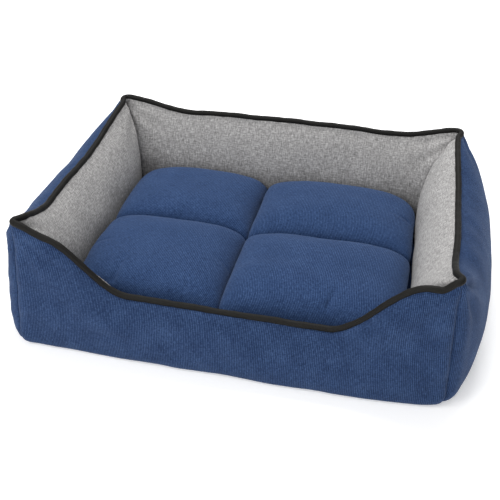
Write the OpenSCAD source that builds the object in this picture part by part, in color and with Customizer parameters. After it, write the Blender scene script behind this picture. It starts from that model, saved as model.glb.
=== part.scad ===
// Rectangular bolster pet bed with a dipped front wall, a piped rim and a loose four-chamber cushion.
// Millimetres, +Z up. The origin is the middle of the footprint, on the floor; the front faces -Y.

/* [Bed] */
// Width between the left and right rim corners at the front
rim_w = 646; // [560:1:760]
// How much narrower each side of the rim is at the back
back_narrow = 4; // [0:0.5:10]
// Depth between the front and back rim corners
rim_d = 491; // [430:1:600]
// Height of the seam at the two pointed corners of the front
ear_h = 214; // [190:1:240]
// How much higher the two corners of the back stand
back_lift = 3; // [0:0.5:8]
// How far the front rim dips below the corners in the middle
front_dip = 107; // [85:1:115]
// How much lower the right end of the dip hangs than its middle
dip_lean = 3; // [0:0.5:5]
// How far the side rims sag below the corners
side_sag = 28; // [10:1:40]
// How far the back rim sags below the corners
back_sag = 14.5; // [5:0.5:30]
// How far the side rims are drawn in beside the corners
side_draw_in = 9.5; // [0:0.5:12]

/* [Stuffing] */
// Outward bulge of the side walls
side_bulge = 56; // [35:1:65]
// Outward bulge of the back wall
back_bulge = 42; // [30:1:55]
// Outward bulge of the front wall
front_bulge = 16; // [12:1:30]
// Inward belly of the left lining
left_belly = 45; // [40:1:60]
// Inward belly of the right lining
right_belly = 55; // [40:1:64]
// Inward belly of the front and back linings
end_belly = 32; // [30:1:42]

/* [Cushion] */
// Height of the crowns of the four chambers
crown_z = 123; // [110:1:130]
// Sideways place of the lengthwise quilting seam
cross_x = -22; // [-30:1:30]
// Front-to-back place of the crosswise quilting seam
cross_y = 10; // [-30:1:30]
// How far the border band is set in under the chambers
tuck = 8; // [7:0.5:12]

/* [Fabric and trim] */
// Thickness of the woven cover fabric
fabric_t = 1.6; // [1.2:0.1:2]
// Outer radius of the piping
piping_r = 5; // [4:0.1:5.2]
// Length of the zip in the back border of the cushion
zip_len = 400; // [300:10:420]

/* [Hidden] */
$fn = 32;

blue = "#33507f";
grey = "#9d9b99";
black = "#1b1a19";
wadding = "#f1efe9";

// Walls, numbered anticlockwise seen from above.
FRONT = 0;
RIGHT = 1;
BACK = 2;
LEFT = 3;
OUTER = 1;
INNER = -1;

// The back wall bulges more than the front one, so the rim sits forward of the footprint's middle.
rim_y = -1.02 * (back_bulge - front_bulge) / 2;

wall_foot = fabric_t + 0.3;
floor_top = wall_foot + fabric_t;
// Where the panels stop beside and below the piping's centre line.
edge_n = 4.8;
edge_drop = 5.5;
fill_gap = 5;
base_flare = 6;
// Inward depth of the linings where two of them meet, anticlockwise from the front right corner.
corner_belly = [44, 50, 36, 32];

// ---------- helpers ----------

function smooth(a, b, x) = let (t = min(1, max(0, (x - a) / (b - a)))) t * t * (3 - 2 * t);
function mix(a, b, t) = a + (b - a) * t;
function unit(v) = v / norm(v);
function steps(n) = [for (i = [0:n]) i / n];

// Two triangles for each cell of a grid of rows by cols points that starts at point number base.
function grid_faces(rows, cols, base, flip, wrap_rows = false) = [
    for (i = [0:rows - (wrap_rows ? 1 : 2)], j = [0:cols - 2])
        let (a = base + i * cols + j, b = a + 1,
             d = base + ((i + 1) % rows) * cols + j, c = d + 1)
        each (flip ? [[a, b, c], [a, c, d]] : [[a, c, b], [a, d, c]])
];

// Point numbers round the edge of a grid.
function rim_of(rows, cols) = concat(
    [for (j = [0:cols - 1]) j],
    [for (i = [1:rows - 1]) i * cols + cols - 1],
    [for (j = [cols - 2:-1:0]) (rows - 1) * cols + j],
    [for (i = [rows - 2:-1:1]) i * cols]);

// A closed solid between two grids of the same size.
module slab(skin, back, flip = false) {
    rows = len(skin);
    cols = len(skin[0]);
    count = rows * cols;
    edge = rim_of(rows, cols);
    walls = [
        for (k = [0:len(edge) - 1])
            let (a = edge[k], b = edge[(k + 1) % len(edge)])
            each (flip ? [[a, a + count, b + count], [a, b + count, b]]
                       : [[a, b + count, a + count], [a, b, b + count]])
    ];
    polyhedron(
        points = [for (g = [skin, back], row = g, p = row) p],
        faces = concat(grid_faces(rows, cols, 0, flip), grid_faces(rows, cols, count, !flip), walls));
}

// ---------- walls ----------

function half_len(w) = (w == FRONT || w == BACK) ? rim_w / 2 : rim_d / 2;
function bulge(w) = [front_bulge, side_bulge, back_bulge, side_bulge][w];
function belly(w, u) =
    let (corner = corner_belly[u > 0 ? w : (w + 3) % 4])
    mix([end_belly, right_belly, end_belly, left_belly][w], corner,
        smooth((w == RIGHT || w == LEFT) ? 0.5 : 0.8, 1, abs(u)));

// Along, outward and height in a wall's own terms, to the bed's frame. The bed narrows to the back.
function place(w, a, n, z) =
    let (x = [a, rim_w / 2 + n, -a, -rim_w / 2 - n][w],
         y = [-rim_d / 2 - n, a, rim_d / 2 + n, -a][w])
    [x * (1 - back_narrow / (rim_w / 2) * (y / rim_d + 0.5)), rim_y + y, z];

// The rim seam: outward place and height, u from -1 to 1 along the wall.
function rim_n(w, u) = let (e = 1 - abs(u))
    (w == FRONT || w == BACK) ? -2 * smooth(0, 0.25, e) :
    -side_draw_in * smooth(0, 0.12, e) * (1 - 0.53 * smooth(0.2, 0.75, e));
function rim_z(w, u) = let (e = abs(u))
    w == FRONT ?
        let (k = 1 - smooth(0.46, 0.88, e), lip = 18)
        ear_h - (front_dip - lip) * k - lip * (1 - smooth(u > 0 ? 0.915 : 0.84, 1, e))
            - dip_lean * k * max(-1, min(1, 2.5 * u)) :
    w == BACK ?
        ear_h + back_lift - back_sag * (1 - smooth(u > 0 ? 0.6 : 0.69, 0.97, e))
            - 4 * exp(-pow((e - 0.6) / 0.13, 2)) :
    let (b = w == RIGHT ? u : -u)
    ear_h - side_sag
        + (b > 0 ? (side_sag + back_lift) * smooth(0.15, 0.97, b) : side_sag * smooth(0.52, 1, -b));

// A section through a wall: [outward, height], h from 0 at the foot to 1 at the rim.
function outer_profile(w, u, h) =
    let (swell = bulge(w) * pow(1 - pow(abs(u), 3.4), 0.66),
         side = pow(max(0, 1 - pow(abs(2 * h - 1), 2.5)), 0.5))
    [(rim_n(w, u) + edge_n) * h + swell * side + base_flare * (1 - h) + 0.1 * swell * pow(1 - h, 2),
     mix(wall_foot, rim_z(w, u) - edge_drop, h)];
function inner_profile(w, u, h) =
    let (full = 0.42, q = h < full ? 1 - 0.25 * pow(1 - h / full, 2) :
                                     pow(1 - pow((h - full) / (1 - full), 2), 0.8))
    [rim_n(w, u) - edge_n - belly(w, u) * q, mix(wall_foot, rim_z(w, u) - edge_drop, h)];
function profile(side, w, u, h) = side == OUTER ? outer_profile(w, u, h) : inner_profile(w, u, h);

// The profile moved into the wall by depth.
function inset_profile(side, w, u, h, depth) =
    let (e = 0.004, lo = max(0, h - e), hi = min(1, h + e),
         t = unit(profile(side, w, u, hi) - profile(side, w, u, lo)))
    profile(side, w, u, h) + depth * side * [-t[1], t[0]];

// A point of a wall's skin. The walls' ends are mitred on the diagonal.
function wall_point(side, w, u, h, depth) =
    let (p = inset_profile(side, w, u, h, depth), end = inset_profile(side, w, u > 0 ? 1 : -1, h, depth)[0])
    place(w, u * (half_len(w) + end), p[0], max(wall_foot, p[1]));

function columns(w) = (w == FRONT) ? 30 : 20;
// Stations along a wall, from -1 to 1, closer together near the corners of the three level walls.
function along(w, t) = let (u = 2 * t - 1) (w == FRONT) ? u : mix(u, sin(90 * u), 0.7);
// Rows close up towards the foot and the rim, where the fabric turns.
function row_at(t) = 0.5 - 0.5 * cos(180 * t);

function skin(side, w, depth, rows = 8, top = 1) = [
    for (i = [0:columns(w)])
        let (u = along(w, i / columns(w)))
        [for (t = steps(rows)) wall_point(side, w, u, row_at(t) * top, depth)]
];

module outer_panel(w) {
    color(blue) slab(skin(OUTER, w, 0), skin(OUTER, w, fabric_t), flip = true);
}

module lining(w) {
    color(grey) slab(skin(INNER, w, 0), skin(INNER, w, fabric_t));
}

// Loose filling between the panel and the lining, kept clear of the piping's flange.
module fill(w) {
    flange_room = 12;
    shy = 0.985;
    function fill_skin(side) = [
        for (i = [0:columns(w)])
            let (u = shy * along(w, i / columns(w)), top = 1 - flange_room / rim_z(w, u))
            [for (t = steps(6))
                let (p = wall_point(side, w, u, max(0.005, row_at(t) * top), fill_gap))
                [p[0], p[1], max(wall_foot + 0.3, p[2])]]
    ];
    color(wadding) slab(fill_skin(OUTER), fill_skin(INNER), flip = true);
}

// ---------- rim piping ----------

// The rim line stops this far short of each corner, which is turned with a curve instead.
turn = 8;

function rim_point(w, u) = place(w, u * half_len(w), rim_n(w, u), rim_z(w, u));
function run_end(w) = 1 - turn / half_len(w);
function run(w) = [for (t = steps(columns(w) - 2)) rim_point(w, run_end(w) * along(w, t))];
function corner(w) =
    let (a = rim_point(w, run_end(w)), c = rim_point(w, 1), b = rim_point((w + 1) % 4, -run_end((w + 1) % 4)))
    [for (t = [0.25, 0.5, 0.75]) (1 - t) * (1 - t) * a + 2 * t * (1 - t) * c + t * t * b];
rim_loop = [for (w = [FRONT, RIGHT, BACK, LEFT]) each concat(run(w), corner(w))];

// Carries a section, a closed list of [across, up] points, round a closed path.
module sweep_round(path, section) {
    sides = len(section);
    g = [
        for (i = [0:len(path) - 1])
            let (t = unit(path[(i + 1) % len(path)] - path[(i + len(path) - 1) % len(path)]),
                 across = unit(cross(t, [0, 0, 1])), up = cross(across, t))
            [for (k = [0:sides]) path[i] + section[k % sides][0] * across + section[k % sides][1] * up]
    ];
    polyhedron(points = [for (row = g, p = row) p],
               faces = grid_faces(len(g), sides + 1, 0, false, wrap_rows = true));
}

// The tape is wrapped round the core, and its two legs make the flange that is sewn in.
module rim_piping_tape() {
    tape = 0.8;
    slit = 0.15;
    leg = 10;
    arc = 6;
    inner_r = piping_r - tape;
    outer_gap = asin((slit + tape) / piping_r);
    inner_gap = asin(slit / inner_r);
    function round_at(r, gap, k) =
        let (q = mix(-90 + gap, 270 - gap, k / arc)) r * [cos(q), sin(q)];
    section = concat(
        [[slit + tape, -leg]], [for (k = [0:arc]) round_at(piping_r, outer_gap, k)], [[-slit - tape, -leg]],
        [[-slit, -leg]], [for (k = [arc:-1:0]) round_at(inner_r, inner_gap, k)], [[slit, -leg]]);
    color(black) sweep_round(rim_loop, section);
}

module rim_piping_core() {
    sides = 6;
    r = piping_r - 1.9;
    section = [for (k = [0:sides - 1]) r * [cos(360 * k / sides), sin(360 * k / sides)]];
    color("#d8d2c4") sweep_round(rim_loop, section);
}

// ---------- base ----------

// The outline of the walls' feet, on their outer or inner side.
function foot_outline(side) = [
    for (w = [FRONT, RIGHT, BACK, LEFT], i = [0:15])
        let (p = wall_point(side, w, -1 + 2 * i / 16, 0.001, 0)) [p[0], p[1]]
];

module nonslip_base_panel() {
    color("#26282c") linear_extrude(fabric_t) polygon(foot_outline(OUTER));
}

module inner_floor_panel() {
    color(blue) translate([0, 0, wall_foot]) linear_extrude(fabric_t) offset(delta = -2)
        polygon(foot_outline(INNER));
}

// ---------- cushion ----------

// The chambers nearly touch the linings at their widest.
cushion_room = 2.2;
cushion_hx = rim_w / 2 - side_draw_in - edge_n - (left_belly + right_belly) / 2 - cushion_room;
cushion_hy = rim_d / 2 - 2 - edge_n - end_belly - cushion_room;
cushion_mid = [(left_belly - right_belly) / 2, rim_y];
border_top = 52;
border_foot = 36;
cushion_foot = floor_top + 0.4;
corner_draw = 0.045;

// Draws in the cushion's upright corners: moves a point of a quarter of a rectangle, hx by hy.
function drawn_in(x, y, hx, hy) =
    [x * (1 - corner_draw * pow(y / hy, 8)), y * (1 - corner_draw * pow(x / hx, 8))];

// Half of a chamber's section, s from 0 at the border to 1 at the quilting seam:
// [share of the way across, share of the height].
function chamber(s, seam) =
    s < 0.5 ?
        let (q = 180 * s) [0.5 * (1 - pow(cos(q), 0.72)), pow(sin(q), 0.72)] :
        let (q = 180 * (s - 0.5))
        [0.5 + 0.5 * pow(sin(q), 0.62), seam + (1 - seam) * pow(max(0, cos(q)), 0.62)];

// A point of the cushion's skin. sx, sy are -1 or 1 for the chamber, a and b are its two section
// places, face is 1 above the border and -1 below, and shrink draws the whole chamber in.
function cushion_point(sx, sy, a, b, face, shrink = 0) =
    let (seam = face > 0 ? 0.26 : 0.05, ca = chamber(a, seam), cb = chamber(b, seam), h = ca[1] * cb[1],
         out = face > 0 ? tuck * pow(min(1, h / 0.4), 0.5) : -4 * h,
         hx = cushion_hx - tuck - shrink, hy = cushion_hy - tuck - shrink,
         p = drawn_in(hx - (hx - sx * cross_x - shrink) * ca[0], hy - (hy - sy * cross_y - shrink) * cb[0],
                      hx, hy),
         z = face > 0 ? mix(border_top, crown_z - shrink, h) : mix(border_foot, cushion_foot + shrink, h))
    [cushion_mid[0] + sx * p[0] * (1 + out / cushion_hx),
     cushion_mid[1] + sy * p[1] * (1 + out / cushion_hy), z];

// The direction out of the cushion. It is level round the border and upright along the seams.
function cushion_normal(sx, sy, a, b, face) =
    let (e = 0.006, a0 = max(0, a - e), a1 = min(1, a + e), b0 = max(0, b - e), b1 = min(1, b + e),
         da = cushion_point(sx, sy, a1, b, face) - cushion_point(sx, sy, a0, b, face),
         db = cushion_point(sx, sy, a, b1, face) - cushion_point(sx, sy, a, b0, face),
         n = unit(cross(da, db) * sx * sy * face))
    (a == 0 && b == 0) ? unit([sx, sy, 0]) :
    a == 0 ? sx * sign(db[1]) * unit([db[1], -db[0], 0]) :
    b == 0 ? -sy * sign(da[0]) * unit([da[1], -da[0], 0]) :
    [a == 1 ? 0 : n[0], b == 1 ? 0 : n[1], (a == 1 || b == 1) ? face * max(0.9, abs(n[2])) : n[2]];

// Places from the border to the seam, and the same for two chambers side by side.
half_way = [0, 0.02, 0.06, 0.13, 0.24, 0.38, 0.52, 0.66, 0.79, 0.9, 0.97];
function both_ways() = concat(
    [for (s = half_way) [-1, s]], [[1, 1]], [for (i = [len(half_way) - 1:-1:0]) [1, half_way[i]]]);

function cover_skin(face, depth) = [
    for (p = both_ways()) [for (q = both_ways())
        cushion_point(p[0], q[0], p[1], q[1], face) - depth * cushion_normal(p[0], q[0], p[1], q[1], face)]
];

module cushion_top_cover() {
    color(blue) slab(cover_skin(1, 0), cover_skin(1, fabric_t));
}

module cushion_bottom_cover() {
    color(blue) slab(cover_skin(-1, 0), cover_skin(-1, fabric_t), flip = true);
}

// The stuffing of one chamber.
module cushion_fill(sx, sy) {
    shrink = 4.4;
    places = concat(half_way, [1]);
    function chamber_skin(face) = [
        for (a = places) [for (b = places) cushion_point(sx, sy, a, b, face, shrink)]
    ];
    color(wadding) slab(chamber_skin(1), chamber_skin(-1), flip = sx * sy < 0);
}

border_x = cushion_hx - tuck;
border_y = cushion_hy - tuck;

// The cushion's outline at its border, drawn in by inset.
function border_outline(inset) = [
    for (side = [FRONT, RIGHT, BACK, LEFT], i = [0:15])
        let (t = sin(90 * (i / 8 - 1)), hx = border_x - inset, hy = border_y - inset,
             a = [[hx * t, -hy], [hx, hy * t], [-hx * t, hy], [-hx, -hy * t]][side],
             p = drawn_in(abs(a[0]), abs(a[1]), hx, hy))
        [sign(a[0]) * p[0], sign(a[1]) * p[1]]
];

// The band between the two covers. The zip takes its place in the middle of the back.
module cushion_border() {
    seam_gap = 0.5;
    color(blue) translate([cushion_mid[0], cushion_mid[1], border_foot + seam_gap])
        difference() {
            linear_extrude(border_top - border_foot - 2 * seam_gap) difference() {
                polygon(border_outline(0));
                polygon(border_outline(fabric_t));
            }
            translate([-zip_len / 2 - 0.5, 0, -1]) cube([zip_len + 1, border_y + 1, 40]);
        }
}

// ---------- zip ----------

zip_z = (border_top + border_foot) / 2;
zip_face = rim_y + border_y - 0.5;
tape_t = 1;
tape_w = 5.2;
coil_r = 1;
coil_off = 1.8;
plate_t = 0.9;
plate_y = zip_face + 2.7;
pin_r = 0.8;
pin_y = zip_face + 5.6;
slider_l = 11;
zip_start = cushion_mid[0] - zip_len / 2;
slider_x = zip_start + 12;

module zip_tape(way) {
    low = way > 0 ? zip_z + coil_off : zip_z - coil_off - tape_w;
    color("#2c4470") translate([zip_start, zip_face - tape_t, low]) cube([zip_len, tape_t, tape_w]);
}

module zip_coil(way) {
    color("#20355c") translate([zip_start, zip_face + coil_r + 0.15, zip_z + way * coil_off])
        rotate([0, 90, 0]) cylinder(r = coil_r, h = zip_len);
}

module zip_end_stops() {
    color("#8d8f93")
        for (x = [1.2, zip_len - 3.2])
            translate([zip_start + x, zip_face + 2.25, zip_z - 3.2]) cube([2, 0.9, 6.4]);
}

// Two plates joined by a post that runs between the coils, with lugs and a pin for the puller.
module zip_slider() {
    slider_w = 7.6;
    color("#2a2b2e") translate([slider_x, 0, zip_z]) {
        for (y = [plate_y, zip_face - 2.8])
            translate([-slider_l / 2, y, -slider_w / 2]) cube([slider_l, plate_t, slider_w]);
        translate([slider_l / 2 - 3.5, zip_face - 2.3, -0.4]) cube([3, 5.3, 0.8]);
        for (way = [-1, 1])
            translate([-2, zip_face + 3, way * 2.9 - 0.5]) cube([4, 3.8, 1]);
        translate([0, pin_y, -3]) cylinder(r = pin_r, h = 6);
    }
}

// The puller hangs on the pin and lies flat along the zip.
module zip_puller() {
    tab_l = 14;
    eye_w = 4.2;
    color("#2a2b2e") translate([slider_x, pin_y, zip_z]) difference() {
        union() {
            translate([0, 0, -eye_w / 2]) cylinder(r = 1.7, h = eye_w);
            translate([1, -0.6, -eye_w / 2]) cube([6, 1.2, eye_w]);
            translate([5, -0.6, -3]) cube([tab_l - 5, 1.2, 6]);
        }
        translate([0, 0, -5]) cylinder(r = pin_r + 0.08, h = 10);
        translate([tab_l - 4, 0, 0]) rotate([90, 0, 0]) cylinder(r = 1.6, h = 4, center = true);
    }
}

// ---------- the assembly ----------

outer_panel(FRONT);  // front_outer_panel
outer_panel(RIGHT);  // right_outer_panel
outer_panel(BACK);  // back_outer_panel
outer_panel(LEFT);  // left_outer_panel
lining(FRONT);  // front_lining
lining(RIGHT);  // right_lining
lining(BACK);  // back_lining
lining(LEFT);  // left_lining
fill(FRONT);  // front_fill
fill(RIGHT);  // right_fill
fill(BACK);  // back_fill
fill(LEFT);  // left_fill
rim_piping_tape();
rim_piping_core();
inner_floor_panel();
nonslip_base_panel();
cushion_top_cover();
cushion_bottom_cover();
cushion_border();
cushion_fill(-1, -1);  // cushion_fill_front_left
cushion_fill(1, -1);  // cushion_fill_front_right
cushion_fill(-1, 1);  // cushion_fill_back_left
cushion_fill(1, 1);  // cushion_fill_back_right
zip_tape(1);  // zip_tape_upper
zip_tape(-1);  // zip_tape_lower
zip_coil(1);  // zip_coil_upper
zip_coil(-1);  // zip_coil_lower
zip_end_stops();
zip_slider();
zip_puller();
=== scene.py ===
"""Looks of the pet cushion bed: stuffed walls, linings, piped rim, quilted cushion, zip and base.

Metres, +Z up, in the CAD model's frame. The shapes follow part.scad's own surfaces, drawn finer.
"""
import math

import bmesh
import bpy
import numpy as np
from mathutils import Matrix, Vector


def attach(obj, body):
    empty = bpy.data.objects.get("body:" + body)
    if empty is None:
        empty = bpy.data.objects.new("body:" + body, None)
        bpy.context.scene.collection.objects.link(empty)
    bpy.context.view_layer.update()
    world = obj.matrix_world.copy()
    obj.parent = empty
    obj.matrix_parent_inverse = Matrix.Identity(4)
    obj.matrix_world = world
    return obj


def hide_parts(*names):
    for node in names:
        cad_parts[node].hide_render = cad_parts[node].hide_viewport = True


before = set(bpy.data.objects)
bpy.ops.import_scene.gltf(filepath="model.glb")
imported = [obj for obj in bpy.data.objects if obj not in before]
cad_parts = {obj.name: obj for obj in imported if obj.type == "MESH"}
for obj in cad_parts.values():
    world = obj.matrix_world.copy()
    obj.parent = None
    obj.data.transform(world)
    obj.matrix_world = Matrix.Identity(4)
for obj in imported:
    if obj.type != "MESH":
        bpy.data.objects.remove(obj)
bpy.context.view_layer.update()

# ---------------------------------------------------------------- the part's dimensions

FRONT, RIGHT, BACK, LEFT = range(4)
NAMES = ["front", "right", "back", "left"]
RIM_W, RIM_D, EAR, BACK_LIFT, BACK_NARROW = 0.646, 0.491, 0.214, 0.003, 0.004
BULGE = [0.016, 0.056, 0.042, 0.056]
BELLY = [0.032, 0.055, 0.032, 0.045]
CORNER_BELLY = [0.044, 0.050, 0.036, 0.032]
RIM_Y = -1.02 * (BULGE[BACK] - BULGE[FRONT]) / 2
FRONT_DIP, DIP_LEAN, SIDE_SAG, BACK_SAG, DRAW_IN = 0.107, 0.003, 0.028, 0.0145, 0.0095
CLOTH = 0.0016
SHEET_GAP = 0.0003  # between the base cloth and the floor cloth
FLOOR_TOP = 2 * CLOTH + SHEET_GAP
PIPING_R = 0.005
PIPING_SEAM = 0.003  # the wall's cloth ends this far under the rim line
EDGE = 0.0048
FLARE = 0.007
TURNS = [0.009, 0.016, 0.018, 0.011]
FOOT_SPREAD = [0.001, 0.003, 0.003, 0.003]
HALF = [RIM_W / 2, RIM_D / 2, RIM_W / 2, RIM_D / 2]


# ---------------------------------------------------------------- small maths

def smooth(a, b, x):
    t = np.clip((x - a) / (b - a), 0, 1)
    return t * t * (3 - 2 * t)


def mix(a, b, t):
    return a + (b - a) * t


def noise(x, y, seed):
    """Smooth value noise from -1 to 1, one cell per unit, the same on every run."""
    x, y = np.broadcast_arrays(np.asarray(x, float), np.asarray(y, float))
    xi, yi = np.floor(x).astype(np.int64), np.floor(y).astype(np.int64)
    fx, fy = x - xi, y - yi
    fx, fy = fx * fx * fx * (fx * (fx * 6 - 15) + 10), fy * fy * fy * (fy * (fy * 6 - 15) + 10)

    def cell(i, j):
        h = (i * 374761393 + j * 668265263 + seed * 2147483647) & 0xFFFFFFFF
        h = ((h ^ (h >> 13)) * 1274126177) & 0xFFFFFFFF
        return ((h ^ (h >> 16)) & 0xFFFF) / 32767.5 - 1

    return mix(mix(cell(xi, yi), cell(xi + 1, yi), fx), mix(cell(xi, yi + 1), cell(xi + 1, yi + 1), fx), fy)


def spread(n, pull):
    """n + 1 stations from -1 to 1, closer together near both ends."""
    u = np.linspace(-1, 1, n + 1)
    return mix(u, np.sin(u * math.pi / 2), pull)


# ---------------------------------------------------------------- meshes

def link(name, verts, faces, cloth=None, smooth_faces=True):
    mesh = bpy.data.meshes.new(name)
    mesh.from_pydata([tuple(v) for v in verts], [], [tuple(f) for f in faces])
    mesh.validate()
    mesh.polygons.foreach_set("use_smooth", [smooth_faces] * len(mesh.polygons))
    if cloth is not None:
        a = mesh.attributes.new("cloth", "FLOAT_VECTOR", "POINT")
        a.data.foreach_set("vector", np.ascontiguousarray(cloth, np.float32).ravel())
    mesh.update()
    obj = bpy.data.objects.new(name, mesh)
    bpy.context.scene.collection.objects.link(obj)
    return obj


def grid_faces(rows, cols, wrap_rows=False, wrap_cols=False):
    i = np.arange(rows if wrap_rows else rows - 1)[:, None]
    j = np.arange(cols if wrap_cols else cols - 1)[None, :]
    a = i * cols + j
    b = i * cols + (j + 1) % cols
    d = ((i + 1) % rows) * cols + j
    c = ((i + 1) % rows) * cols + (j + 1) % cols
    return np.stack([a, b, c, d], -1).reshape(-1, 4)


def grid_normals(p):
    """Unit normals of a grid of points, rows by cols by 3."""
    du = np.gradient(p, axis=0)
    dv = np.gradient(p, axis=1)
    n = np.cross(du, dv)
    return n / np.maximum(np.linalg.norm(n, axis=-1, keepdims=True), 1e-12)


def cloth_lengths(p):
    """The distance along the cloth of each grid point, across rows and along columns, from the middle."""
    rows, cols = p.shape[:2]
    a = np.zeros((rows, cols))
    b = np.zeros((rows, cols))
    a[1:] = np.cumsum(np.linalg.norm(np.diff(p, axis=0), axis=-1), axis=0)
    b[:, 1:] = np.cumsum(np.linalg.norm(np.diff(p, axis=1), axis=-1), axis=1)
    a -= a[rows // 2][None]
    return np.stack([a, b, np.zeros_like(a)], -1)


def shell(name, p, thickness=CLOTH, flip=False, cloth=None):
    """A closed sheet of cloth: the grid p is its outer face, and its back lies thickness inside."""
    rows, cols = p.shape[:2]
    n = grid_normals(p) * (-1 if flip else 1)
    inner = p - n * thickness
    f = grid_faces(rows, cols)
    count = rows * cols
    rim = np.concatenate([
        np.arange(cols), np.arange(1, rows) * cols + cols - 1,
        (rows - 1) * cols + np.arange(cols - 2, -1, -1), np.arange(rows - 2, 0, -1) * cols])
    nxt = np.roll(rim, -1)
    side = np.stack([rim, nxt, nxt + count, rim + count], -1)
    # the grid's own winding faces along du x dv
    outer_f, inner_f = f[:, ::-1], f + count
    if flip:
        outer_f, inner_f, side = outer_f[:, ::-1], inner_f[:, ::-1], side[:, ::-1]
    c = cloth_lengths(p) if cloth is None else cloth
    return link(name, np.concatenate([p.reshape(-1, 3), inner.reshape(-1, 3)]),
                np.concatenate([outer_f, inner_f, side]), np.concatenate([c.reshape(-1, 3)] * 2))


def tube(name, path, radius, sides, closed=True):
    """A tube round a path. radius may be one number per point. Its ends are closed if the path is open."""
    path = np.asarray(path, float)
    n = len(path)
    if closed:
        t = np.roll(path, -1, 0) - np.roll(path, 1, 0)
        step = np.linalg.norm(np.roll(path, -1, 0) - path, axis=1)
    else:
        t = np.gradient(path, axis=0)
        step = np.append(np.linalg.norm(np.diff(path, axis=0), axis=1), 0)
    t /= np.linalg.norm(t, axis=1, keepdims=True)
    up = np.array([0, 0, 1.0])
    across = np.cross(t, up)
    flat = np.linalg.norm(across, axis=1) < 1e-3
    across[flat] = np.cross(t[flat], [0, 1.0, 0])
    across /= np.linalg.norm(across, axis=1, keepdims=True)
    upv = np.cross(across, t)
    q = np.linspace(0, 2 * math.pi, sides, endpoint=False)
    r = np.broadcast_to(np.asarray(radius, float), (n,))[:, None, None]
    c, s = np.cos(q)[None, :, None], np.sin(q)[None, :, None]
    ring = path[:, None] + r * (c * across[:, None] + s * upv[:, None])
    f = grid_faces(n, sides, wrap_rows=closed, wrap_cols=True)
    verts = ring.reshape(-1, 3)
    along = np.concatenate([[0], np.cumsum(step)[:-1]])
    cl = np.stack([np.repeat(along, sides), np.tile(q * np.mean(r), n), np.zeros(n * sides)], -1)
    faces = [tuple(x[::-1]) for x in f]
    if not closed:
        faces.append(tuple(range(sides)))
        faces.append(tuple((n - 1) * sides + k for k in range(sides - 1, -1, -1)))
    return link(name, verts, faces, cl)


def stitches(name, lines, up, length=0.0032, gap=0.0010, radius=0.00032):
    """Short arched loops of thread along each line of points. up points out of the cloth."""
    verts, faces, cloth = [], [], []
    sides = 6
    margin = 0.004
    q = np.linspace(0, 2 * math.pi, sides, endpoint=False)
    c, s = np.cos(q)[None, :, None], np.sin(q)[None, :, None]
    stations = np.linspace(0, 1, 7)
    for line in lines:
        d = np.concatenate([[0], np.cumsum(np.linalg.norm(np.diff(line, axis=0), axis=1))])
        for start in np.arange(margin, d[-1] - margin - length, length + gap):
            at = start + length * stations
            p = np.stack([np.interp(at, d, line[:, k]) for k in range(3)], -1)
            p = p + np.outer(radius * (1.5 * np.sin(math.pi * stations) - 0.4), up)
            along = (p[-1] - p[0]) / np.linalg.norm(p[-1] - p[0])
            side = np.cross(along, up)
            side /= np.linalg.norm(side)
            over = np.cross(side, along)
            r = radius * np.sin(math.pi * (0.12 + 0.76 * stations)) ** 0.5
            ring = p[:, None] + r[:, None, None] * (c * side + s * over)
            first = len(verts)
            verts += list(ring.reshape(-1, 3))
            faces += [tuple(f[::-1] + first) for f in grid_faces(len(stations), sides, wrap_cols=True)]
            faces.append(tuple(first + k for k in range(sides)))
            faces.append(tuple(first + (len(stations) - 1) * sides + k for k in range(sides - 1, -1, -1)))
            cloth += [(start + length * t, a * radius, 0) for t in stations for a in q]
    return link(name, verts, faces, np.array(cloth))


# ---------------------------------------------------------------- wall surfaces

def place(w, a, n, z):
    """Along, outward and height in a wall's own terms, to the bed's frame."""
    a, n, z = np.broadcast_arrays(a, n, z)
    x = (a, RIM_W / 2 + n, -a, -RIM_W / 2 - n)[w]
    y = (-RIM_D / 2 - n, a, RIM_D / 2 + n, -a)[w]
    return np.stack([x * (1 - BACK_NARROW / (RIM_W / 2) * (y / RIM_D + 0.5)), RIM_Y + y, z], -1)


def rim_n(w, u):
    e = 1 - np.abs(u)
    if w in (FRONT, BACK):
        return -0.002 * smooth(0, 0.25, e)
    return -DRAW_IN * smooth(0, 0.12, e) * (1 - 0.53 * smooth(0.2, 0.75, e))


def rim_z(w, u):
    e = np.abs(u)
    if w == FRONT:
        k = 1 - smooth(0.46, 0.88, e)
        lip = 0.018
        rise = np.where(u > 0, smooth(0.915, 1, e), smooth(0.84, 1, e))
        return EAR - (FRONT_DIP - lip) * k - lip * (1 - rise) - DIP_LEAN * k * np.clip(2.5 * u, -1, 1)
    if w == BACK:
        rise = np.where(u > 0, smooth(0.6, 0.97, e), smooth(0.69, 0.97, e))
        return EAR + BACK_LIFT - BACK_SAG * (1 - rise) - 0.004 * np.exp(-((e - 0.6) / 0.13) ** 2)
    b = u if w == RIGHT else -u
    return EAR - SIDE_SAG + np.where(b > 0, (SIDE_SAG + BACK_LIFT) * smooth(0.15, 0.97, b),
                                     SIDE_SAG * smooth(0.52, 1, -b))


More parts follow.
